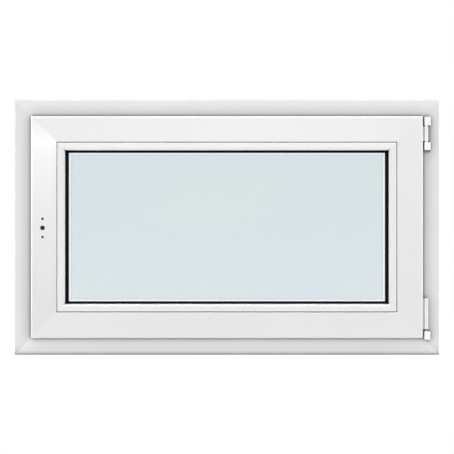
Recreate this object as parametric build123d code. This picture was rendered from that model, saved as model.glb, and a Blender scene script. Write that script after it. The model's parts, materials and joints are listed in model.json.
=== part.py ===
from build123d import *
import os
from math import pi, sin, cos, tan, radians, acos

# Tilt-and-turn window, 1000 x 600 mm: frame, sash, double glazing and hardware.
# X right seen from the room, Y out of the room, Z up. Origin: bottom centre of the frame.
# Profiles are drawn in (u, v): u from the outer edge inward, v from the room face outward.

# overall sizes
WINDOW_W = 1000.0
WINDOW_H = 600.0
FRAME_DEPTH = 70.0
FRAME_ROOM_Y = -35.0
FRAME_FACE = 47.0
FRAME_LIP = 65.0
LIP_V = 52.5
# the sash stands 21 in front of the frame's room face and covers 8 of it
VISIBLE_FRAME = 39.0
SASH_W = WINDOW_W - 2 * VISIBLE_FRAME
SASH_H = WINDOW_H - 2 * VISIBLE_FRAME
SASH_ROOM_Y = -56.0
FLANGE = 20.0
FLANGE_THICK = 17.5
REBATE_U = 61.0
BEAD_U = 61.6
SASH_INNER = 80.0
SASH_LIP_V = 52.0
SASH_DEPTH = 70.0
MID_Z = WINDOW_H / 2
# hardware groove
GROOVE_V = 30.5
GROOVE_Y = SASH_ROOM_Y + GROOVE_V
RECESS_W = 18.0
RECESS_D = 2.7
GROOVE_W = 12.0
GROOVE_D = 12.7
# glazing
GLASS_U = 69.0
PANE = 4.0
CAVITY = 16.0
GLASS_V = 24.5
# handle position and gear
HANDLE_U = 27.5
HANDLE_X = -SASH_W / 2 + HANDLE_U
HANDLE_Z = 298.0
HANDLE_SCREWS = 43.0
SPINDLE_HOLE_R = 5.5
SCREW_HOLE_R = 2.9
SQUARE = 7.1
PINION_R = 6.9
PINION_TEETH = 15
# cams and strikers
CAM_R = 4.0
LEFT_CAMS_Z = (180.0, 420.0)
TOP_CAM_X = -330.0
BOTTOM_CAM_X = -330.0
THROW = PINION_R * pi / 2
# hinge side
AXIS_X = 469.0
AXIS_Y = -49.0
PIVOT_Z = 42.0
STAY_LENGTH = 300.0
ARM_Z = 545.8
ARM_THICK = 3.0
SWIVEL_R = 3.7

HALF_W = SASH_W / 2
HALF_H = SASH_H / 2
SIDE_X = HALF_W - FLANGE
TOP_Z = MID_Z + HALF_H - FLANGE
BOTTOM_Z = MID_Z - HALF_H + FLANGE


def block(x0, x1, y0, y1, z0, z1):
    centre = Pos((x0 + x1) / 2, (y0 + y1) / 2, (z0 + z1) / 2)
    return centre * Box(x1 - x0, y1 - y0, z1 - z0)


def rod_x(y, z, r, x0, x1):
    return Pos((x0 + x1) / 2, y, z) * Rot(0, 90, 0) * Cylinder(r, abs(x1 - x0))


def rod_y(x, z, r, y0, y1):
    return Pos(x, (y0 + y1) / 2, z) * Rot(90, 0, 0) * Cylinder(r, abs(y1 - y0))


def rod_z(x, y, r, z0, z1):
    return Pos(x, y, (z0 + z1) / 2) * Cylinder(r, abs(z1 - z0))


def outline(points):
    return make_face(Polyline(*points, close=True))


def plan(points, z0, z1):
    """A shape drawn in plan (X, Y) and raised from z0 to z1."""
    return extrude(Plane.XY.offset(z0) * outline(points), amount=z1 - z0)


def front(points, y0, y1):
    """A shape drawn in the window's plane (X, Z) and run from y0 to y1."""
    flat = outline([(x, z) for x, z in points])
    return extrude(Plane.XZ.offset(-y0) * flat, amount=-(y1 - y0))


def ring(w, h, outer, inner, y0, y1, inner_h=None):
    """A rectangular ring between two insets from a w x h outline centred at MID_Z."""
    if inner_h is None:
        inner_h = inner
    a = block(-w / 2 + outer, w / 2 - outer, y0, y1, MID_Z - h / 2 + outer, MID_Z + h / 2 - outer)
    b = block(-w / 2 + inner, w / 2 - inner, y0 - 1, y1 + 1, MID_Z - h / 2 + inner_h, MID_Z + h / 2 - inner_h)
    return a - b


def bar(section, chambers, length, half, y0, soft=()):
    """One mitred profile bar lying below the centre, outer edge down."""
    depth = max(u for u, v in section)
    body = outline([(y0 + v, u - half) for u, v in section])
    if soft:
        spots = [Vector(y0 + v, u - half, 0) for u, v, r in soft]
        for spot, (u, v, r) in zip(spots, soft):
            corner = body.vertices().sort_by_distance(spot)[0]
            body = fillet(corner, r)
    for c in chambers:
        u0, u1, v0, v1 = c
        corners = [(v0, u0), (v1, u0), (v1, u1), (v0, u1)]
        hole = outline([(y0 + v, u - half) for v, u in corners])
        body = body - hole
    run = extrude(Plane.YZ.offset(-length / 2) * body, amount=length)
    end = length / 2
    mitre = [(-end, -half), (end, -half), (end - depth, -half + depth), (-end + depth, -half + depth)]
    return run & front(mitre, y0 - 5, y0 + 90)


def four_bars(section, chambers, w, h, y0, soft=()):
    up = Pos(0, 0, MID_Z)
    long_bar = bar(section, chambers, w, h / 2, y0, soft)
    short_bar = bar(section, chambers, h, w / 2, y0, soft)
    return {
        "bottom": up * long_bar,
        "top": up * Rot(0, 180, 0) * long_bar,
        "left": up * Rot(0, 90, 0) * short_bar,
        "right": up * Rot(0, -90, 0) * short_bar,
    }


def frame_bars():
    section = [
        (0, 0), (FRAME_FACE, 0), (FRAME_FACE, LIP_V), (FRAME_LIP, LIP_V),
        (FRAME_LIP, FRAME_DEPTH), (0, FRAME_DEPTH),
    ]
    chambers = [
        (3, 10.8, 3, 33),
        (3, 10.8, 34.5, 67),
        (12.3, 44.2, 3, 13),
        (12.3, 44.2, 14.5, 49.7),
        (12.3, 37, 51.3, 67.2),
        (38.5, 62.2, 55.3, 67.2),
    ]
    soft = [(0, 0, 1.5), (FRAME_FACE, 0, 1.5), (FRAME_LIP, FRAME_DEPTH, 2.0), (0, FRAME_DEPTH, 1.0)]
    return four_bars(section, chambers, WINDOW_W, WINDOW_H, FRAME_ROOM_Y, soft)


def sash_bars():
    lo = GROOVE_V - RECESS_W / 2
    hi = GROOVE_V + RECESS_W / 2
    glo = GROOVE_V - GROOVE_W / 2
    ghi = GROOVE_V + GROOVE_W / 2
    section = [
        (0, 0), (REBATE_U, 0), (REBATE_U, SASH_LIP_V), (SASH_INNER, SASH_LIP_V), (SASH_INNER, SASH_DEPTH),
        (FLANGE, SASH_DEPTH), (FLANGE, hi), (FLANGE + RECESS_D, hi), (FLANGE + RECESS_D, ghi),
        (FLANGE + GROOVE_D, ghi), (FLANGE + GROOVE_D, glo), (FLANGE + RECESS_D, glo),
        (FLANGE + RECESS_D, lo), (FLANGE, lo), (FLANGE, FLANGE_THICK), (0, FLANGE_THICK),
    ]
    chambers = [
        (3, 17.5, 3, 14.7),
        (20, 58.2, 3, 13.2),
        (23, 33, 15, 19.4),
        (34.8, 58.2, 15, 50),
        (22.8, 33.2, 41.5, 52.5),
        (22.8, 50, 54.2, 67.2),
        (51.5, 77.2, 54.8, 67.2),
    ]
    soft = [
        (0, 0, 3.4), (REBATE_U, 0, 2.0), (0, FLANGE_THICK, 1.0),
        (SASH_INNER, SASH_DEPTH, 2.0), (FLANGE, SASH_DEPTH, 1.0),
    ]
    return four_bars(section, chambers, SASH_W, SASH_H, SASH_ROOM_Y, soft)


def bead_bars():
    section = [
        (BEAD_U, 0.5), (75.2, 0.5), (75.5, 1.0), (77.6, 1.9), (79.2, 3.4), (80.3, 5.6),
        (80.3, 19.0), (BEAD_U, 19.0),
    ]
    chambers = [(63.6, 73.5, 3.2, 16.6)]
    return four_bars(section, chambers, SASH_W, SASH_H, SASH_ROOM_Y, [(BEAD_U, 0.5, 2.0)])


def channel(u0, u1, v0, v1, t, web_at_inner):
    """A steel channel section in (u, v) as a list of three rectangles."""
    web = (u1 - t, u1, v0, v1) if web_at_inner else (u0, u0 + t, v0, v1)
    return [(u0, u1, v0, v0 + t), (u0, u1, v1 - t, v1), web]


def steels(rects, w, h, y0, end_gap):
    """Four square-cut channels inside the four bars."""
    out = []
    for length, half, angles in ((w, h / 2, (0, 180)), (h, w / 2, (90, -90))):
        run = None
        for u0, u1, v0, v1 in rects:
            piece = block(-length / 2 + end_gap, length / 2 - end_gap, y0 + v0, y0 + v1, u0 - half, u1 - half)
            run = piece if run is None else run + piece
        out += [Pos(0, 0, MID_Z) * Rot(0, a, 0) * run for a in angles]
    return out


def screw(r, head_r, head_h, length, where):
    """A screw pointing along -Z from its head's flat top at the origin of where."""
    body = Pos(0, 0, -head_h / 2) * Cylinder(head_r, head_h)
    body += Pos(0, 0, -(head_h + length) / 2) * Cylinder(r, length - head_h)
    drive = Pos(0, 0, -0.4) * Box(head_r * 1.2, 0.7, 0.8)
    drive += Pos(0, 0, -0.4) * Box(0.7, head_r * 1.2, 0.8)
    return where * (body - drive)


def faceplate(length, holes, slots):
    """A plate along X centred at the origin, room edge at -8, top at 0, 2.5 thick."""
    plate = block(-length / 2, length / 2, -8, 8, -2.5, 0)
    for x in holes:
        plate -= Pos(x, 0, -1.25) * Cylinder(2.1, 3)
        plate -= Pos(x, 0, -0.6) * Cylinder(3.4, 1.3)
    for x0, x1, w in slots:
        r = w / 2
        plate -= block(x0 + r, x1 - r, -r, r, -3, 1)
        plate -= Pos(x0 + r, 0, -1.25) * Cylinder(r, 3)
        plate -= Pos(x1 - r, 0, -1.25) * Cylinder(r, 3)
    return plate


def side_frame(side):
    """Places parts drawn on an upward face, X along the bar, at a sash edge's face."""
    if side == "top":
        return Pos(0, GROOVE_Y, TOP_Z - 0.15)
    if side == "bottom":
        return Pos(0, GROOVE_Y, BOTTOM_Z + 0.15) * Rot(180, 0, 0)
    return Pos(-SIDE_X + 0.15, GROOVE_Y, 0) * Rot(0, -90, 0)


def pinion():
    """The handle's follower: a 15-tooth pinion with a 7 mm square through it."""
    module = 2 * PINION_R / PINION_TEETH
    tip = PINION_R + 0.55
    root = PINION_R - 0.75
    base = PINION_R * cos(radians(20))
    half_tooth = (pi * module / 2 - 0.14) / (2 * PINION_R)

    def flank(r):
        inv0 = tan(radians(20)) - radians(20)
        if r <= base:
            return half_tooth + inv0
        a = acos(base / r)
        return half_tooth + inv0 - (tan(a) - a)

    points = []
    for n in range(PINION_TEETH):
        mid = 2 * pi * n / PINION_TEETH
        for r in (root, base, PINION_R, tip):
            points.append((r, mid - flank(r)))
        for r in (tip, PINION_R, base, root):
            points.append((r, mid + flank(r)))
    flat = [(r * cos(a), r * sin(a)) for r, a in points]
    teeth = extrude(outline(flat), amount=10, both=False)
    hub = Pos(0, 0, 5) * Cylinder(5.9, 14.6)
    solid = teeth + hub - Pos(0, 0, 5) * Box(SQUARE, SQUARE, 20)
    return Pos(HANDLE_X, GROOVE_Y + 5, HANDLE_Z) * Rot(90, 0, 0) * solid


def rack():
    """Teeth on the rack bar's near side, in mesh with the pinion at rest."""
    pitch = 2 * pi * PINION_R / PINION_TEETH
    line = HANDLE_X + PINION_R
    wide = (pitch / 2 - 0.07)
    shape = None
    for n in range(-6, 6):
        z = HANDLE_Z + (n + 0.5) * pitch
        lean = tan(radians(20))
        pts = [
            (line + 0.8, z - wide / 2 - 0.8 * lean),
            (line - 0.5, z - wide / 2 + 0.5 * lean),
            (line - 0.5, z + wide / 2 - 0.5 * lean),
            (line + 0.8, z + wide / 2 + 0.8 * lean),
        ]
        tooth = front(pts, GROOVE_Y - 5, GROOVE_Y + 5)
        shape = tooth if shape is None else shape + tooth
    return shape + block(line + 0.8, line + 4.0, GROOVE_Y - 5, GROOVE_Y + 5, HANDLE_Z - 48, HANDLE_Z + 48)


def drive_rod():
    x0 = -HALF_W + 22.9
    x1 = x0 + 1.5
    y0 = GROOVE_Y - 5.8
    y1 = GROOVE_Y + 5.8
    far = HANDLE_X + PINION_R + 4.0
    out = rack()
    for way in (1, -1):
        a = HANDLE_Z + way * 36.5
        b = HANDLE_Z + way * 48
        out += block(x0, far, GROOVE_Y - 5, GROOVE_Y + 5, min(a, b), max(a, b))
        end = MID_Z + way * (HALF_H - 48.65)
        out += block(x0, x1, y0, y1, min(a, end), max(a, end))
    for z in LEFT_SCREWS_Z:
        out -= slot_x(z, x0, x1)
    for z in LEFT_CAMS_Z:
        out -= rod_x(GROOVE_Y, z, 2.0, x0 - 1, x1 + 1)
    return out


def slot_x(z, x0, x1):
    """Clearance for a faceplate screw through the sliding rod."""
    half = THROW + 2.6
    return block(x0 - 1, x1 + 1, GROOVE_Y - 2.6, GROOVE_Y + 2.6, z - half, z + half)


def flat_rod(side, cam_x):
    """The top or bottom rod behind its faceplate."""
    edge = HALF_H - 22.9
    z0 = MID_Z + edge - 1.5 if side == "top" else MID_Z - edge
    out = block(-HALF_W + 48.65, -285, GROOVE_Y - 5.8, GROOVE_Y + 5.8, z0, z0 + 1.5)
    half = THROW + 2.6
    x = RAIL_SCREW_X
    out -= block(x - half, x + half, GROOVE_Y - 2.6, GROOVE_Y + 2.6, z0 - 1, z0 + 3)
    return out - rod_z(cam_x, GROOVE_Y, 2.0, z0 - 1, z0 + 3)


def cam():
    """A locking cam standing up from the origin, which is the faceplate's outer face."""
    out = Pos(0, 0, (7.85 + 0.6) / 2) * Cylinder(CAM_R, 7.85 - 0.6)
    out += Pos(0, 0, -1.0) * Cylinder(2.9, 3.4)
    out += Pos(0, 0, -3.6) * Cylinder(1.97, 2.4)
    out = chamfer(out.edges().group_by(Axis.Z)[-1], 0.7)
    return out - Pos(0, 0, 7.85) * extrude(RegularPolygon(2.0, 6), amount=-2.5)


def corner_strip(side):
    """Spring strip that carries the push round the corner, in its rest shape."""
    c = 48.65
    r = 25.0
    t = 0.6
    arc = CenterArc((0, 0), r + t, 90, 90)
    inner = CenterArc((0, 0), r - t, 90, 90)
    face = make_face([
        arc.edge(), inner.edge(),
        Edge.make_line((0, r + t), (0, r - t)),
        Edge.make_line((-r - t, 0), (-r + t, 0)),
    ])
    strip = extrude(Plane.XZ * face, amount=5.5, both=True)
    if side == "bottom":
        strip = mirror(strip, about=Plane.XY)
        return Pos(-HALF_W + c, GROOVE_Y, MID_Z - HALF_H + c) * strip
    return Pos(-HALF_W + c, GROOVE_Y, MID_Z + HALF_H - c) * strip


def corner_drive(side):
    """The angled cover plate over the strip, a leg on each face."""
    x0 = -SIDE_X + 0.15
    z1 = TOP_Z - 0.15
    y0 = GROOVE_Y - 8
    y1 = GROOVE_Y + 8
    out = block(x0, x0 + 2.5, y0, y1, 500.5, z1)
    out += block(x0, -400.5, y0, y1, z1 - 2.5, z1)
    out = fillet(out.edges().filter_by(Axis.Y).sort_by(lambda e: e.center().X - e.center().Z)[0], 2.0)
    if side == "bottom":
        return Pos(0, 0, MID_Z) * mirror(Pos(0, 0, -MID_Z) * out, about=Plane.XY)
    return out


def gearbox_housing():
    x0 = -HALF_W + 22.8
    x1 = -HALF_W + 41.2
    z0 = HANDLE_Z - 62
    z1 = HANDLE_Z + 62
    out = block(x0, x1, SASH_ROOM_Y + 23.1, SASH_ROOM_Y + 24.3, z0, z1)
    out += block(x0, x1, SASH_ROOM_Y + 36.7, SASH_ROOM_Y + 37.9, z0, z1)
    out += block(x1 - 2, x1, SASH_ROOM_Y + 23.1, SASH_ROOM_Y + 37.9, z0, z1)
    out -= rod_y(HANDLE_X, HANDLE_Z, 5.95, -40, -10)
    for way in (1, -1):
        out -= rod_y(HANDLE_X, HANDLE_Z + way * HANDLE_SCREWS / 2, SCREW_HOLE_R, -40, -10)
    return out


def striker(lips, lip):
    """A striker on an upward face: X along the bar, -Y toward the room."""
    y0, y1, height = lip
    lo = min(a for a, b in lips) - 2
    hi = max(max(b for a, b in lips), 14) + 2
    out = block(lo, hi, -8, 8, 0, 2.2)
    for a, b in lips:
        out += block(a, b, y0, y1, 0, height)
    for x in (lo + 8, hi - 5):
        out -= Pos(x, 1.5, 1) * Cylinder(2.0, 4)
        out -= Pos(x, 1.5, 1.6) * Cylinder(3.3, 1.3)
    return out


def striker_screw_spots(lips):
    lo = min(a for a, b in lips) - 2
    hi = max(max(b for a, b in lips), 14) + 2
    return [lo + 8, hi - 5]


# lips along the bar, and their near side, far side and height
ONE_LIP = [(-20.0, -5.4)]
TWO_LIPS = [(-20.0, -5.4), (5.4, 20.0)]
LOCK_LIP = (-9.1, -5.1, 8.4)
TILT_LIP = (-9.3, -5.5, 7.2)
LEFT_SCREWS_Z = (110.0, 215.0, 385.0, 490.0)
RAIL_SCREW_X = -385.0
TOP_SCREWS_X = (-385.0, -240.0, -60.0, 110.0, 230.0)
BOTTOM_SCREWS_X = (-385.0, -240.0)


def striker_places():
    """Each striker's lips and the placement that lays it on the frame's rebate."""
    floor = FRAME_FACE
    places = []
    for z in LEFT_CAMS_Z:
        spot = Pos(-WINDOW_W / 2 + floor, GROOVE_Y, z) * Rot(0, 90, 0) * Rot(0, 0, 180)
        places.append(("left", ONE_LIP, spot))
    top = Pos(TOP_CAM_X, GROOVE_Y, WINDOW_H - floor) * Rot(180, 0, 0)
    places.append(("top", ONE_LIP, top))
    places.append(("bottom", TWO_LIPS, Pos(BOTTOM_CAM_X, GROOVE_Y, floor)))
    return places


def knuckle_web(z0, z1):
    """The frame half of the upper hinge at one height: eye and web to the plate."""
    pts = [
        (AXIS_X, AXIS_Y - 4.1), (AXIS_X + 5.5, AXIS_Y + 4), (AXIS_X + 8.6, -37),
        (AXIS_X - 2, -37), (AXIS_X - 4.1, AXIS_Y),
    ]
    return rod_z(AXIS_X, AXIS_Y, 4.2, z0, z1) + plan(pts, z0, z1)


def cap_plan(left_r, right, nose, grow):
    """The hinge cap's outline in plan, grown or shrunk by grow."""
    pts = []
    r = left_r + grow
    for n in range(0, 13):
        a = radians(180 + 90 * n / 12)
        pts.append((AXIS_X + r * cos(a), AXIS_Y + r * sin(a)))
    x = AXIS_X + right + grow
    y = AXIS_Y - nose - grow
    soft = 1.6
    pts += [(AXIS_X + 1.5, y), (x - soft, y), (x - 0.45, y + 0.45), (x, y + soft)]
    back = -35.02 if grow == 0 else -34
    pts += [(x, back), (AXIS_X - r, back)]
    return pts


def hinge_cap(z0, z1, open0, open1):
    """A plastic cap over one end of the upper hinge, let through for the pin at open0..open1."""
    out = plan(cap_plan(5.1, 9.6, 5.2, 0), z0, z1)
    out = out - plan(cap_plan(5.1, 9.6, 5.2, -0.8), z0 + 0.8, z1 - 0.8)
    out -= rod_z(AXIS_X, AXIS_Y, 2.6, open0, open1)
    out -= block(474.9, 477.8, -38.1, -34, open0, open1)
    return out - block(464.9, 477.8, -38.1, -34, 480, 483)


STAY_SCREWS = [(467.9, 553.0), (474.7, 553.0), (467.9, 486.6), (474.7, 486.6)]
CORNER_SCREWS = [(467.2, 50.2), (474.4, 50.2)]


def stay_bearing():
    out = block(465.0, 477.6, -38, -35, 540.4, 558.4)
    out += block(465.0, 477.6, -38, -35, 477.0, 498.4)
    out += block(475.0, 477.6, -38, -35, 477.0, 558.4)
    out += knuckle_web(540.4, 547.6) + knuckle_web(491.2, 498.4)
    out -= rod_z(AXIS_X, AXIS_Y, 2.51, 480, 560)
    for x, z in STAY_SCREWS:
        out -= rod_y(x, z, 1.95, -40, -34)
        out -= rod_y(x, z, 3.0, -40, -37)
    return out


def lean_room(r, z0, z1):
    """Room for the leaning corner pin, from straight into the room round to sideways."""
    wide = rod_z(AXIS_X, AXIS_Y, r, z0, z1)
    wide &= block(AXIS_X - 2.8, AXIS_X + 8, AXIS_Y - 8, AXIS_Y + 2.8, z0, z1)
    return wide + rod_z(AXIS_X, AXIS_Y, 2.8, z0, z1)


def corner_bearing():
    """Block with the swivel's bore, and a screw plate behind the pin."""
    out = plan(cap_plan(5.6, 9.2, 6.2, -1.0), 36.6, 46.4) & block(460, 480, -60, -35, 30, 60)
    out += block(464.4, 477.2, -43.5, -35, 46.4, 54.0)
    out -= rod_z(AXIS_X, AXIS_Y, SWIVEL_R + 0.05, 38.15, 47)
    for x, z in CORNER_SCREWS:
        out -= rod_y(x, z, 1.8, -40, -34)
        out -= rod_y(x, z, 2.6, -60, -39)
    return out


def corner_swivel():
    """Turns with the sash in the corner bearing and holds the corner pin's foot."""
    out = rod_z(AXIS_X, AXIS_Y, SWIVEL_R, 38.2, 46.0)
    out -= block(AXIS_X - 2.55, AXIS_X + 2.55, AXIS_Y - 5, AXIS_Y + 2.55, PIVOT_Z, 47)
    out -= rod_x(AXIS_Y, PIVOT_Z, 2.55, AXIS_X - 2.55, AXIS_X + 2.55)
    return out - rod_x(AXIS_Y, PIVOT_Z, 1.65, AXIS_X - 5, AXIS_X + 5)


def corner_pin():
    """Pin of the corner band, with an eye and trunnions at its foot."""
    out = rod_z(AXIS_X, AXIS_Y, 2.5, PIVOT_Z, 129)
    out += rod_x(AXIS_Y, PIVOT_Z, 2.48, AXIS_X - 2.4, AXIS_X + 2.4)
    return out + rod_x(AXIS_Y, PIVOT_Z, 1.6, AXIS_X - 3.3, AXIS_X + 3.3)


def corner_cap():
    cap = plan(cap_plan(5.6, 9.2, 6.2, 0), 35.6, 55.0)
    cap -= plan(cap_plan(5.6, 9.2, 6.2, -0.8), 36.4, 54.2)
    return cap - lean_room(5.1, 50, 60)


def strap_plan(x0):
    """Strap in the gap behind the flange, and the neck round its edge to the knuckle."""
    return [
        (x0, -38.1), (461.15, -38.1), (461.15, AXIS_Y - 1.2), (AXIS_X - 3.2, AXIS_Y - 1.2),
        (AXIS_X - 1.0, AXIS_Y - 1.0), (AXIS_X + 2.5, AXIS_Y + 2.0), (AXIS_X, -39.5),
        (AXIS_X - 0.5, -35.6), (x0, -35.6),
    ]


def corner_band():
    out = rod_z(AXIS_X, AXIS_Y, 4.9, 60, 132.5)
    out += plan(strap_plan(441.1), 60, 132.5)
    out += block(441.1, 444.1, -38.1, -17.5, 60, 132.5)
    out -= rod_z(AXIS_X, AXIS_Y, 2.51, 50, 130)
    for z in (74, 96, 118):
        out -= rod_x(-27.5, z, 1.95, 440, 446)
        out -= rod_x(-27.5, z, 3.3, 442.7, 446)
    return out


def corner_washer():
    return rod_z(AXIS_X, AXIS_Y, 4.7, 56.4, 59.8) - rod_z(AXIS_X, AXIS_Y, 2.52, 50, 130)


def stay_band():
    out = rod_z(AXIS_X, AXIS_Y, 4.2, 502.0, 537.0)
    out += plan(strap_plan(446), 503.0, 535.5)
    out += block(446, 449, -38.1, -18.5, 503.0, ARM_Z)
    return out - rod_z(AXIS_X, AXIS_Y, 3.25, 490, 540)


def stay_bush():
    return rod_z(AXIS_X, AXIS_Y, 3.2, 501.8, 537.2) - rod_z(AXIS_X, AXIS_Y, 2.55, 490, 550)


def stay_cover():
    """Plastic sleeve over the band's knuckle, open at the neck."""
    out = rod_z(AXIS_X, AXIS_Y, 5.0, 501.8, 537.2) - rod_z(AXIS_X, AXIS_Y, 4.25, 490, 550)
    wedge = [
        (AXIS_X - 9, AXIS_Y - 1.35), (AXIS_X, AXIS_Y - 1.35), (AXIS_X + 9, AXIS_Y + 2.6),
        (AXIS_X + 9, -35), (AXIS_X - 9, -35),
    ]
    return out - plan(wedge, 490, 550)


def stay_arm():
    y0 = GROOVE_Y - 7
    y1 = GROOVE_Y + 7
    pin_x = AXIS_X - STAY_LENGTH
    out = block(pin_x, 449, y0, y1, ARM_Z, ARM_Z + ARM_THICK)
    out += rod_z(pin_x, GROOVE_Y, 7, ARM_Z, ARM_Z + ARM_THICK)
    for x in (230, 290, 350):
        out -= block(x - 14, x + 14, GROOVE_Y - 2.2, GROOVE_Y + 2.2, ARM_Z - 1, ARM_Z + 5)
    out = fillet(out.edges().filter_by(Axis.Z).group_by(Axis.X)[-1], 2)
    return out - rod_z(pin_x, GROOVE_Y, 2.01, ARM_Z - 1, ARM_Z + 5)


def stay_pin():
    pin_x = AXIS_X - STAY_LENGTH
    out = rod_z(pin_x, GROOVE_Y, 3.0, 533, ARM_Z)
    out += rod_z(pin_x, GROOVE_Y, 2.0, ARM_Z, ARM_Z + ARM_THICK)
    return out + rod_z(pin_x, GROOVE_Y, 3.4, ARM_Z + ARM_THICK, ARM_Z + ARM_THICK + 1)


def glazing_blocks():
    """Hard blocks between the rebate floor and the glass edge, all round."""
    y0 = SASH_ROOM_Y + 24.7
    y1 = SASH_ROOM_Y + 48.3
    gap0 = REBATE_U + 0.2
    gap1 = GLASS_U - 0.1
    out = []
    for x in (-280, 280):
        for way in (-1, 1):
            a = MID_Z + way * (HALF_H - gap0)
            b = MID_Z + way * (HALF_H - gap1)
            out.append(block(x - 50, x + 50, y0, y1, min(a, b), max(a, b)))
    for z in (190, 410):
        for way in (-1, 1):
            a = way * (HALF_W - gap0)
            b = way * (HALF_W - gap1)
            out.append(block(min(a, b), max(a, b), y0, y1, z - 35, z + 35))
    return out


def save(shape, name):
    if isinstance(shape, list):
        shape = Compound(children=[s for s in shape])
    export_step(shape, "parts/" + name + ".step")


def main():
    os.makedirs("parts", exist_ok=True)
    frame = frame_bars()
    sash = sash_bars()
    beads = bead_bars()
    frame_steel = steels(channel(12.6, 43.9, 14.8, 49.4, 1.5, True), WINDOW_W, WINDOW_H, FRAME_ROOM_Y, 72)
    sash_steel = steels(channel(35.2, 57.9, 15.3, 49.7, 1.5, True), SASH_W, SASH_H, SASH_ROOM_Y, 92)

    # wall fixings through the jambs
    for side, way in (("left", -1), ("right", 1)):
        for z in (150, 450):
            hole = rod_x(-5, z, 3.1, way * 440, way * 510)
            hole += rod_x(-5, z, 6.0, way * 440, way * (WINDOW_W / 2 - 44.2))
            frame[side] -= hole
            frame_steel = [s - hole for s in frame_steel]

    # drainage of the sill, with caps outside
    caps = []
    for x in (-300, 300):
        frame["bottom"] -= block(x - 14, x + 14, 30, 40, 14, 19)
        cap = block(x - 20, x + 20, 35, 37, 10, 24) + block(x - 13, x + 13, 32.5, 35, 14.5, 18.5)
        cap -= block(x - 12, x + 12, 31, 36.2, 15.5, 17.5)
        caps.append(cap - block(x - 12, x + 12, 34, 36.2, 9, 17.5))

    # strikers and their screws
    striker_nodes = {"left": [], "top": [], "bottom": []}
    striker_screws = []
    for side, lips, spot in striker_places():
        lip = TILT_LIP if side == "bottom" else LOCK_LIP
        striker_nodes[side].append(spot * striker(lips, lip))
        for x in striker_screw_spots(lips):
            place = spot * Pos(x, 1.5, 2.1)
            striker_screws.append(screw(1.9, 3.2, 1.1, 16, place))
            frame[side] -= place * Pos(0, 0, -9) * Cylinder(1.92, 20)
            drill = place * Pos(0, 0, -9) * Cylinder(2.1, 20)
            frame_steel = [s - drill for s in frame_steel]

    # hinge screws into the frame
    hinge_screws = []
    for x, z in STAY_SCREWS:
        hinge_screws.append(screw(1.9, 2.9, 0.9, 26, Pos(x, -37.95, z) * Rot(90, 0, 0)))
        drill = rod_y(x, z, 1.92, -36, -8)
        frame["right"] -= drill
        frame_steel = [s - rod_y(x, z, 2.1, -36, -8) for s in frame_steel]
    for x, z in CORNER_SCREWS:
        hinge_screws.append(screw(1.75, 2.5, 1.4, 28, Pos(x, -40.4, z) * Rot(90, 0, 0)))
        frame["right"] -= rod_y(x, z, 1.77, -36, -10)

    # the sash: handle holes and gearbox pocket
    left = sash["left"]
    x0 = -HALF_W + 22.6
    left -= block(x0, x0 + 22.4, SASH_ROOM_Y + 22.9, SASH_ROOM_Y + 38.1, HANDLE_Z - 64, HANDLE_Z + 64)
    left -= rod_y(HANDLE_X, HANDLE_Z, SPINDLE_HOLE_R, SASH_ROOM_Y - 1, SASH_ROOM_Y + 23)
    left -= rod_y(HANDLE_X, HANDLE_Z, SPINDLE_HOLE_R + 0.3, SASH_ROOM_Y + 38, SASH_ROOM_Y + 42)
    for way in (1, -1):
        z = HANDLE_Z + way * HANDLE_SCREWS / 2
        left -= rod_y(HANDLE_X, z, SCREW_HOLE_R, SASH_ROOM_Y - 1, SASH_ROOM_Y + 23)

    for radius, rounding in ((SPINDLE_HOLE_R, 0.9), (SCREW_HOLE_R, 0.4)):
        rims = left.edges().filter_by(GeomType.CIRCLE)
        rims = rims.filter_by(lambda e: abs(e.center().Y - SASH_ROOM_Y) < 0.01)
        rims = rims.filter_by(lambda e: abs(e.radius - radius) < 0.01)
        left = fillet(rims, rounding)

    # faceplates with their screws
    screws = []
    slot = THROW + 3.4
    zc = HANDLE_Z
    left_slots = [(z - slot - MID_Z, z + slot - MID_Z, 6.6) for z in LEFT_CAMS_Z]
    plate = faceplate(399, [z - MID_Z for z in LEFT_SCREWS_Z], left_slots)
    plate -= block(zc - MID_Z - 8, zc - MID_Z + 8, -5.6, 5.6, -3, 1)
    plate -= rod_y(zc - MID_Z, -7.35, 6.1, -9, 9)
    faceplate_left = side_frame("left") * Pos(MID_Z, 0, 0) * plate
    for z in LEFT_SCREWS_Z:
        place = Pos(-SIDE_X + 0.2, GROOVE_Y, z) * Rot(0, -90, 0)
        screws.append(screw(1.9, 3.3, 1.1, 20, place))
        left -= place * Pos(0, 0, -12) * Cylinder(1.92, 24)
    sash["left"] = left

    top_len = 700
    top_mid = -400 + top_len / 2
    top_slots = [(TOP_CAM_X - slot - top_mid, TOP_CAM_X + slot - top_mid, 6.6)]
    pin_x = AXIS_X - STAY_LENGTH
    top_slots.append((pin_x - 5.6 - top_mid, pin_x + 11.6 - top_mid, 8.6))
    plate = faceplate(top_len, [x - top_mid for x in TOP_SCREWS_X], top_slots)
    faceplate_top = side_frame("top") * Pos(top_mid, 0, 0) * plate
    for x in TOP_SCREWS_X:
        place = Pos(x, GROOVE_Y, TOP_Z - 0.2)
        screws.append(screw(1.9, 3.3, 1.1, 20, place))
        sash["top"] -= place * Pos(0, 0, -12) * Cylinder(1.92, 24)

    low_len = 250
    low_mid = -400 + low_len / 2
    low_slots = [(BOTTOM_CAM_X - slot - low_mid, BOTTOM_CAM_X + slot - low_mid, 6.6)]
    plate = faceplate(low_len, [x - low_mid for x in BOTTOM_SCREWS_X], low_slots)
    faceplate_bottom = side_frame("bottom") * Pos(low_mid, 0, 0) * plate
    for x in BOTTOM_SCREWS_X:
        place = Pos(x, GROOVE_Y, BOTTOM_Z + 0.2) * Rot(180, 0, 0)
        screws.append(screw(1.9, 3.3, 1.1, 20, place))
        sash["bottom"] -= place * Pos(0, 0, -12) * Cylinder(1.92, 24)

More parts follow.
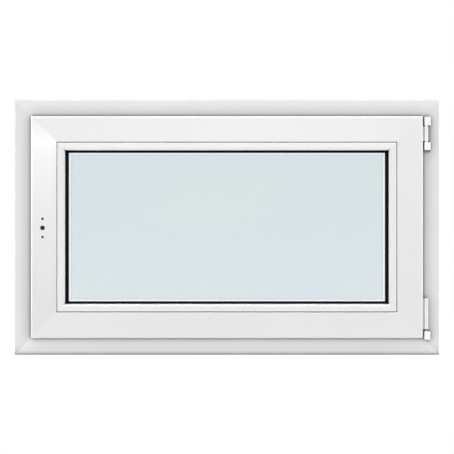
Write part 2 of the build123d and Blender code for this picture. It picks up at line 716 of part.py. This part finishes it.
    band_screws = []
    for z in (74, 96, 118):
        place = Pos(443.9, -27.5, z) * Rot(0, 90, 0)
        band_screws.append(screw(1.9, 3.2, 1.1, 24, place))
        drill = place * Pos(0, 0, -13) * Cylinder(1.92, 26)
        sash["right"] -= drill
        sash["bottom"] -= drill

    # gaskets
    sash_gasket = ring(SASH_W, SASH_H, 2.5, 7.0, -38.5, -35.8)
    sash_gasket -= block(452, 460, -40, -35, 500, 538.5)
    sash_gasket -= block(452, 460, -40, -35, 58, 134.5)
    frame_gasket = ring(WINDOW_W, WINDOW_H, 58.5, 64.0, 14.5, 17.5)
    bead_gasket = ring(SASH_W, SASH_H, 77.5, 88.9, SASH_ROOM_Y + 19.1, SASH_ROOM_Y + 24.45, 86.3)
    bead_gasket -= ring(SASH_W, SASH_H, 83.4, 84.8, SASH_ROOM_Y + 18, SASH_ROOM_Y + 20.3, 84.4)
    outer_gasket = ring(SASH_W, SASH_H, 70.0, 79.4, SASH_ROOM_Y + 48.55, SASH_ROOM_Y + 51.95)

    # double glazing
    y_in = SASH_ROOM_Y + GLASS_V
    y_out = y_in + PANE + CAVITY
    gw = HALF_W - GLASS_U
    gh = HALF_H - GLASS_U
    inner_pane = block(-gw, gw, y_in, y_in + PANE, MID_Z - gh, MID_Z + gh)
    outer_pane = block(-gw, gw, y_out, y_out + PANE, MID_Z - gh, MID_Z + gh)
    spacer = ring(SASH_W, SASH_H, 79.5, 91.9, y_in + PANE + 0.02, y_out - 0.02, 89.6)
    seal = ring(SASH_W, SASH_H, GLASS_U + 0.2, 79.45, y_in + PANE + 0.02, y_out - 0.02)

    # sash rods, cams and the stay
    left_cams = [side_frame("left") * Pos(z, 0, 0) * cam() for z in LEFT_CAMS_Z]
    top_cam = side_frame("top") * Pos(TOP_CAM_X, 0, 0) * cam()
    bottom_cam = side_frame("bottom") * Pos(BOTTOM_CAM_X, 0, 0) * cam()

    nodes = {
        "frame_sill": frame["bottom"], "frame_head": frame["top"],
        "frame_jamb_left": frame["left"], "frame_jamb_right": frame["right"],
        "frame_reinforcements": frame_steel, "frame_gasket": frame_gasket, "drain_caps": caps,
        "lock_strikers_left": striker_nodes["left"], "lock_striker_top": striker_nodes["top"],
        "tilt_striker": striker_nodes["bottom"], "striker_screws": striker_screws,
        "stay_bearing": stay_bearing(),
        "stay_bearing_pin": rod_z(AXIS_X, AXIS_Y, 2.5, 492.0, 546.8),
        "bearing_caps": [
            hinge_cap(539.4, 559.4, 538.0, 540.3), hinge_cap(481.4, 499.4, 498.5, 501.0),
        ],
        "corner_bearing": corner_bearing(), "corner_bearing_cap": corner_cap(), "hinge_screws": hinge_screws,
        "corner_swivel": corner_swivel(), "corner_pin": corner_pin(), "corner_washer": corner_washer(),
        "sash_bottom_rail": sash["bottom"], "sash_top_rail": sash["top"],
        "sash_stile_left": sash["left"], "sash_stile_right": sash["right"],
        "sash_reinforcements": sash_steel, "sash_gasket": sash_gasket,
        "bead_bottom": beads["bottom"], "bead_top": beads["top"],
        "bead_left": beads["left"], "bead_right": beads["right"],
        "bead_gasket": bead_gasket, "outer_glazing_gasket": outer_gasket,
        "inner_pane": inner_pane, "outer_pane": outer_pane, "spacer_bar": spacer, "edge_seal": seal,
        "glazing_blocks": glazing_blocks(),
        "gearbox_housing": gearbox_housing(), "faceplate_left": faceplate_left,
        "faceplate_top": faceplate_top, "faceplate_bottom": faceplate_bottom,
        "sash_screws": screws + band_screws,
        "corner_drives": [corner_drive("top"), corner_drive("bottom")], "corner_band": corner_band(),
        "handle_follower": pinion(),
        "drive_rod": drive_rod(), "top_rod": flat_rod("top", TOP_CAM_X),
        "bottom_rod": flat_rod("bottom", BOTTOM_CAM_X),
        "left_cams": left_cams, "top_cam": top_cam, "bottom_cam": bottom_cam,
        "corner_strips": [corner_strip("top"), corner_strip("bottom")],
        "stay_bearing_bush": stay_bush(), "stay_arm": stay_arm(), "stay_band": stay_band(),
        "stay_band_cover": stay_cover(), "stay_pin": stay_pin(),
    }
    for name, shape in nodes.items():
        save(shape, name)
    print(len(nodes), "nodes")


main()
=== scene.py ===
import json
import math
import bpy
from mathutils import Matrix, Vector


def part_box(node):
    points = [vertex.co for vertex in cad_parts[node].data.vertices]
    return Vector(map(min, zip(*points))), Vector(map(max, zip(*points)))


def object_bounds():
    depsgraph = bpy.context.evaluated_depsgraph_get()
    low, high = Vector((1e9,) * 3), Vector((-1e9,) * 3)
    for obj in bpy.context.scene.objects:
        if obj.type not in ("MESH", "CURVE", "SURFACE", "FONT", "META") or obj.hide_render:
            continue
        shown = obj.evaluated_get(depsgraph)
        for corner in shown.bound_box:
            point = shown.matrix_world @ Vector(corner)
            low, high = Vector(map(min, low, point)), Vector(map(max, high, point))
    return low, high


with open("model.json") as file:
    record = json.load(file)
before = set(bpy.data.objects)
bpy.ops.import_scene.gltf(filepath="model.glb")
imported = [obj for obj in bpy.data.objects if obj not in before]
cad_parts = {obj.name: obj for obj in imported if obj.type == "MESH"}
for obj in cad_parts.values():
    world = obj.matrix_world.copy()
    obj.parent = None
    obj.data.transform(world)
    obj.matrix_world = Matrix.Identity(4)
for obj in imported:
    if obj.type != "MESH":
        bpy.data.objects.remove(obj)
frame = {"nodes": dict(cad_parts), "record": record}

cad_low, cad_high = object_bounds()
nodes = frame["nodes"]
MM = 0.001

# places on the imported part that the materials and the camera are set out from
SASH_LOW, SASH_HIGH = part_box("sash_top_rail")
SASH_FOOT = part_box("sash_stile_left")[0].z
SPACER_LOW, SPACER_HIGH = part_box("spacer_bar")
FRAME_FACE_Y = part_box("frame_sill")[0].y
MID_Z = (cad_low.z + cad_high.z) / 2


# ---------------------------------------------------------------- node helpers
class Nodes:
    """Builds one node material a step at a time."""

    def __init__(self, name):
        self.mat = bpy.data.materials.new(name)
        self.mat.use_nodes = True
        self.tree = self.mat.node_tree
        self.tree.nodes.clear()
        self.out = self.add("ShaderNodeOutputMaterial")
        self.bsdf = self.add("ShaderNodeBsdfPrincipled")
        self.link(self.bsdf.outputs["BSDF"], self.out.inputs["Surface"])
        self.coords = self.add("ShaderNodeTexCoord").outputs["Object"]

    def add(self, kind, **settings):
        node = self.tree.nodes.new(kind)
        for key, value in settings.items():
            setattr(node, key, value)
        return node

    def link(self, a, b):
        self.tree.links.new(a, b)

    def noise(self, scale, detail=3.0, rough=0.5, stretch=None):
        node = self.add("ShaderNodeTexNoise")
        node.inputs["Scale"].default_value = scale
        node.inputs["Detail"].default_value = detail
        node.inputs["Roughness"].default_value = rough
        source = self.coords
        if stretch:
            mapping = self.add("ShaderNodeMapping")
            mapping.inputs["Scale"].default_value = stretch
            self.link(source, mapping.inputs["Vector"])
            source = mapping.outputs["Vector"]
        self.link(source, node.inputs["Vector"])
        return node.outputs["Fac"]

    def ramp(self, source, stops):
        node = self.add("ShaderNodeValToRGB")
        ends = node.color_ramp.elements
        while len(ends) > 2:
            ends.remove(ends[-1])
        for n, (place, colour) in enumerate(stops):
            stop = ends[n] if n < 2 else ends.new(place)
            stop.position = place
            stop.color = (*colour, 1.0)
        self.link(source, node.inputs["Fac"])
        return node.outputs["Color"]

    def range(self, source, low, high, from_low=0.3, from_high=0.7):
        node = self.add("ShaderNodeMapRange")
        node.inputs["From Min"].default_value = from_low
        node.inputs["From Max"].default_value = from_high
        node.inputs["To Min"].default_value = low
        node.inputs["To Max"].default_value = high
        self.link(source, node.inputs["Value"])
        return node.outputs["Result"]

    def multiply(self, a, b, factor=1.0):
        node = self.add("ShaderNodeMix", data_type="RGBA", blend_type="MULTIPLY")
        node.inputs["Factor"].default_value = factor
        self.link(a, node.inputs["A"])
        self.link(b, node.inputs["B"])
        return node.outputs["Result"]

    def bump(self, source, depth, strength=1.0):
        node = self.add("ShaderNodeBump")
        node.inputs["Distance"].default_value = depth
        node.inputs["Strength"].default_value = strength
        self.link(source, node.inputs["Height"])
        self.link(node.outputs["Normal"], self.bsdf.inputs["Normal"])

    def painted_corner_shade(self, reach, dark, full=0.0):
        """Painted shade that collects in corners, from ambient occlusion, as a grey multiplier.
        full is how open a place may be and still take all of it."""
        node = self.add("ShaderNodeAmbientOcclusion", samples=8)
        node.inputs["Distance"].default_value = reach
        return self.ramp(node.outputs["AO"], [(full, (dark,) * 3), (1.0, (1.0,) * 3)])

    def set(self, **values):
        for key, value in values.items():
            self.bsdf.inputs[key.replace("_", " ")].default_value = value


WARM = (1.0, 1.0, 0.998)


def grey(v, tint=(1.0, 1.0, 1.0)):
    return tuple(v * t for t in tint)


def upvc(name, painted_tones, axis=None, wide=0.45, edge=0.9, near=0.004, gloss=0.20, full=0.0):
    """Gloss white profile. The tones, one tone or stops along the axis over the sash's length, carry
    painted light and shade.
    wide is the painted-shade tone left in a step 30 mm wide, and edge is how much painted shade one as
    small as near takes.
    full is passed on to the small one."""
    m = Nodes(name)
    if axis:
        place = m.add("ShaderNodeSeparateXYZ")
        m.link(m.coords, place.inputs["Vector"])
        ends = (SASH_FOOT, SASH_HIGH.z) if axis == "Z" else (SASH_LOW.x, SASH_HIGH.x)
        spread = m.range(place.outputs[axis], 0.0, 1.0, *ends)
        colour = m.ramp(spread, [(at, grey(v, WARM)) for at, v in painted_tones])
    else:
        cloud = m.noise(7.0, 2.0)
        colour = m.ramp(cloud, [(0.3, grey(painted_tones * 0.985, WARM)), (0.7, grey(painted_tones * 1.01, WARM))])
    # painted shade: ambient occlusion darkens the colour in wide steps and in small corners
    colour = m.multiply(colour, m.painted_corner_shade(0.03, wide))
    colour = m.multiply(colour, m.painted_corner_shade(near, 1.0 - edge, full))
    m.link(colour, m.bsdf.inputs["Base Color"])
    m.link(m.range(m.noise(60.0, 4.0), gloss, gloss * 1.3), m.bsdf.inputs["Roughness"])
    m.bump(m.noise(900.0, 3.0, 0.6), 0.00003, 0.35)
    m.set(IOR=1.5, Coat_Weight=0.3, Coat_Roughness=0.12)
    return m.mat


def rubber(name):
    m = Nodes(name)
    colour = m.ramp(m.noise(400.0, 4.0), [(0.3, (0.001,) * 3), (0.75, (0.003,) * 3)])
    m.link(colour, m.bsdf.inputs["Base Color"])
    m.link(m.range(m.noise(250.0), 0.42, 0.6), m.bsdf.inputs["Roughness"])
    m.set(Specular_IOR_Level=0.06)
    m.bump(m.noise(2500.0, 3.0), 0.00004, 0.6)
    return m.mat


def metal(name, tone, tint, rough, stretch=(1.0, 1.0, 1.0), spangle=0.0, painted_glow=0.0):
    m = Nodes(name)
    # emission here makes the part glow: painted light
    m.set(Metallic=1.0, Emission_Strength=painted_glow)
    low, high = grey(tone * 0.86, tint), grey(tone * 1.06, tint)
    source = m.noise(180.0, 5.0, 0.6, stretch)
    if spangle:
        cells = m.add("ShaderNodeTexVoronoi")
        cells.inputs["Scale"].default_value = spangle
        m.link(m.coords, cells.inputs["Vector"])
        source = cells.outputs["Distance"]
    # painted shade: ambient occlusion darkens the colour in corners
    colour = m.multiply(m.ramp(source, [(0.2, low), (0.8, high)]), m.painted_corner_shade(0.006, 0.5))
    m.link(colour, m.bsdf.inputs["Base Color"])
    brushed = m.noise(320.0, 5.0, 0.6, stretch)
    m.link(m.range(brushed, rough * 0.8, rough * 1.25), m.bsdf.inputs["Roughness"])
    m.bump(m.noise(1200.0, 4.0, 0.6, stretch), 0.00005, 0.5)
    return m.mat


def moulded(name, low, high, rough):
    m = Nodes(name)
    # painted shade: ambient occlusion darkens the colour in corners
    colour = m.multiply(m.ramp(m.noise(90.0, 3.0), [(0.3, low), (0.7, high)]), m.painted_corner_shade(0.008, 0.5))
    m.link(colour, m.bsdf.inputs["Base Color"])
    m.link(m.range(m.noise(500.0), rough * 0.9, rough * 1.15), m.bsdf.inputs["Roughness"])
    m.bump(m.noise(2200.0, 3.0), 0.00003, 0.5)
    return m.mat


def glass(name, low, high):
    """Clear float with a faint drift of tint, painted shading that deepens the tone toward the top, and a
    painted shadow line inside the spacer.
    """
    m = Nodes(name)
    place = m.add("ShaderNodeSeparateXYZ")
    m.link(m.coords, place.inputs["Vector"])
    # painted shading: the tone deepens toward the top
    height = m.ramp(m.range(place.outputs["Z"], 0.0, 1.0, 0.1, 0.5), [(0.0, low), (1.0, high)])
    cloud = m.noise(2.4, 1.5, 0.45, (1.0, 1.0, 1.6))
    drift = m.ramp(cloud, [(0.36, (1.0, 1.0, 0.992)), (0.62, (0.996, 0.992, 1.0))])
    colour = m.multiply(height, drift)
    # painted shadow of the spacer: the glass darkens in a line 4 mm wide, set in from the spacer's outer
    # edge
    side = SPACER_HIGH.x - 15 * MM
    top = SPACER_HIGH.z - MID_Z - 12 * MM
    for axis, middle, end in (("X", 0.0, side), ("Z", MID_Z, top)):
        away = m.add("ShaderNodeMath", operation="SUBTRACT")
        m.link(place.outputs[axis], away.inputs[0])
        away.inputs[1].default_value = middle
        size = m.add("ShaderNodeMath", operation="ABSOLUTE")
        m.link(away.outputs[0], size.inputs[0])
        line = m.range(size.outputs[0], 0.0, 1.0, end - 4 * MM, end)
        shade = m.ramp(line, [(0.0, (1.0,) * 3), (1.0, (0.965, 0.965, 0.96))])
        colour = m.multiply(colour, shade)
    m.link(colour, m.bsdf.inputs["Base Color"])
    m.set(Transmission_Weight=1.0, Roughness=0.0, IOR=1.45)
    return m.mat


# ---------------------------------------------------------------- materials
# painted highlight: the left stile's white rises to a bright band high up and falls again
LEFT_STILE_PAINTED_HIGHLIGHT = [
    (0.0, 0.67), (0.17, 0.68), (0.42, 0.72), (0.56, 0.737), (0.69, 0.783), (0.80, 0.82),
    (0.885, 0.888), (0.94, 0.83), (1.0, 0.77),
]
# painted light and shade: each bar of the one white profile gets its own tone, and the top rail and right
# stiles are graded along their length
WHITE_PAINTED_LIGHT = {
    "frame_sill": (0.79, None), "frame_head": (0.742, None),
    "frame_jamb_left": (0.695, None), "frame_jamb_right": (0.70, None),
    "sash_bottom_rail": (0.712, None),
    "sash_top_rail": ([(0.0, 0.755), (0.5, 0.792), (0.85, 0.78), (1.0, 0.742)], "X"),
    "sash_stile_left": (LEFT_STILE_PAINTED_HIGHLIGHT, "Z"),
    "sash_stile_right": ([(0.0, 0.695), (0.4, 0.714), (1.0, 0.747)], "Z"),
    "bead_bottom": (0.735, None), "bead_top": (0.794, None),
    "bead_left": (0.737, None), "bead_right": (0.742, None),
}
# amounts of painted corner shade for each kind of profile
SHADE = {
    "frame": {"wide": 0.4, "edge": 1.0, "near": 0.009},
    "sash": {"edge": 0.9, "near": 0.004, "full": 0.6},
    "bead": {"edge": 0.97, "near": 0.003, "full": 0.6},
}
SILL_WIDE = 0.52    # the sill takes less painted shade, as the floor already shades it from below
MATERIAL = {}
for node, (painted_tones, axis) in WHITE_PAINTED_LIGHT.items():
    shade = dict(SHADE[node.split("_")[0]])
    if node == "frame_sill":
        shade["wide"] = SILL_WIDE
    MATERIAL[node] = upvc("upvc_" + node, painted_tones, axis, **shade)
CAP = upvc("cap_plastic", 0.82, wide=0.7, edge=0.8, near=0.002)
# painted shade: the band's white is set darker than the caps' white
BAND = upvc("band_plastic", 0.67, wide=0.85, edge=0.5, near=0.002)
for node in ("corner_band", "stay_band", "stay_band_cover"):
    MATERIAL[node] = BAND
GASKET = rubber("epdm")
SEAL = rubber("butyl")
ZINC = metal("zinc_plate", 0.66, (1.0, 0.995, 0.97), 0.30)
CAST = metal("zinc_cast", 0.52, (0.98, 0.99, 1.0), 0.42)
GALV = metal("galvanised", 0.60, (0.97, 0.99, 1.0), 0.36, spangle=160.0)
SPRING = metal("spring_steel", 0.45, (0.97, 0.98, 1.0), 0.22, (1.0, 8.0, 1.0))
# the spacer is made to glow a little: painted light, so its line reads bright behind the glass
SPACER = metal("spacer_aluminium", 0.90, (1.0,) * 3, 0.38, (1.0, 6.0, 1.0), painted_glow=0.75)
ACETAL = moulded("acetal", (0.02,) * 3, (0.035,) * 3, 0.4)
PACKER = moulded("packer_plastic", (0.04, 0.07, 0.16), (0.06, 0.10, 0.22), 0.5)
# painted shadow: a near-black zinc that stands in for the shade below the hinge caps
ZINC_PAINTED_SHADOW = metal("zinc_painted_shadow", 0.20, (0.98, 0.99, 1.0), 0.42)
GLASS = glass("float_glass", (0.842, 0.886, 0.902), (0.818, 0.868, 0.884))

BY_SLOT = {
    "cap_white": CAP, "gasket_black": GASKET, "sealant": SEAL, "glass": GLASS,
    "spacer_aluminium": SPACER, "block_plastic": PACKER, "profile_steel": GALV,
    "plated_steel": ZINC, "zinc_cast": CAST, "spring_steel": SPRING, "bush_plastic": ACETAL,
    "zinc_dark": ZINC_PAINTED_SHADOW,
}
slot_of = {s["node"]: s["material_slot"] for s in frame["record"]["subparts"]}
for name, obj in nodes.items():
    material = MATERIAL.get(name) or BY_SLOT[slot_of[name]]
    obj.data.materials.clear()
    obj.data.materials.append(material)

# softened arrises on the moulded and cast pieces
SOFT = {
    "bearing_caps": 0.9, "corner_bearing_cap": 0.9, "corner_band": 0.9,
    "stay_band": 0.5, "stay_band_cover": 0.25, "stay_bearing": 0.4,
    "corner_bearing": 0.4, "corner_drives": 0.3, "stay_arm": 0.3,
    "faceplate_left": 0.25, "faceplate_top": 0.25, "faceplate_bottom": 0.25,
    "lock_strikers_left": 0.5, "lock_striker_top": 0.5, "tilt_striker": 0.5, "drain_caps": 0.6,
}
for name, radius in SOFT.items():
    bevel = nodes[name].modifiers.new("arris", "BEVEL")
    bevel.width = radius * MM
    bevel.segments = 2
    bevel.limit_method = "ANGLE"
    bevel.angle_limit = math.radians(40)
    bevel.harden_normals = False


# ---------------------------------------------------------------- stage and light
def area(name, place, width, height, power, gloss_only=False):
    light = bpy.data.lights.new(name, "AREA")
    light.shape = "RECTANGLE"
    light.size = width
    light.size_y = height
    light.energy = power
    obj = bpy.data.objects.new(name, light)
    bpy.context.scene.collection.objects.link(obj)
    obj.location = place
    obj.rotation_mode = "QUATERNION"
    aim = Vector((0, 0, MID_Z)) - Vector(place)
    obj.rotation_quaternion = aim.to_track_quat("-Z", "Y")
    if gloss_only:
        obj.visible_diffuse = False
        obj.visible_transmission = False
    return obj


area("key_softbox", (-1.6, -2.2, 2.0), 1.6, 1.6, 2.0)
area("top_softbox", (0.0, -0.6, 2.6), 2.6, 1.2, 3.0)
# strip boxes that only show in the rounded edges
area("strip_top", (0.0, -1.5, 1.9), 3.0, 0.8, 130.0, True)
area("strip_left", (-1.9, -1.4, 0.4), 0.8, 2.0, 100.0, True)
area("strip_right", (1.9, -1.4, 0.4), 0.8, 2.0, 60.0, True)

world = bpy.data.worlds.new("studio")
world.use_nodes = True
background = world.node_tree.nodes["Background"]
background.inputs["Color"].default_value = (1.0, 1.0, 1.0, 1.0)
background.inputs["Strength"].default_value = 1.0
bpy.context.scene.world = world

FLOOR_GAP = 0.5 * MM
bpy.ops.mesh.primitive_plane_add(size=9.0, location=(0, 0, cad_low.z - FLOOR_GAP))
floor = bpy.context.object
floor.name = "floor"
fm = Nodes("floor_paint")
fm.link(fm.ramp(fm.noise(3.0, 2.0), [(0.3, (0.90,) * 3), (0.7, (0.93,) * 3)]), fm.bsdf.inputs["Base Color"])
fm.set(Roughness=0.9, Emission_Strength=0.17)
floor.data.materials.append(fm.mat)

# ---------------------------------------------------------------- camera
camera_data = bpy.data.cameras.new("camera")
camera_data.type = "PERSP"
camera_data.sensor_width = 36.0
camera_data.lens = 400.0
camera = bpy.data.objects.new("camera", camera_data)
bpy.context.scene.collection.objects.link(camera)
bpy.context.scene.camera = camera
FRAME_SHARE = 0.9354185    # of the picture's width that the frame's front takes
OFF_CENTRE = 0.2 * MM
face_distance = (cad_high.x - cad_low.x) / FRAME_SHARE * camera_data.lens / camera_data.sensor_width
camera.location = (OFF_CENTRE, FRAME_FACE_Y - face_distance, MID_Z + OFF_CENTRE)
camera.rotation_euler = (math.pi / 2, 0, 0)
camera_data.clip_start = 0.5
camera_data.clip_end = 200.0

view = bpy.context.scene.view_settings
view.view_transform = "Standard"
view.look = "None"
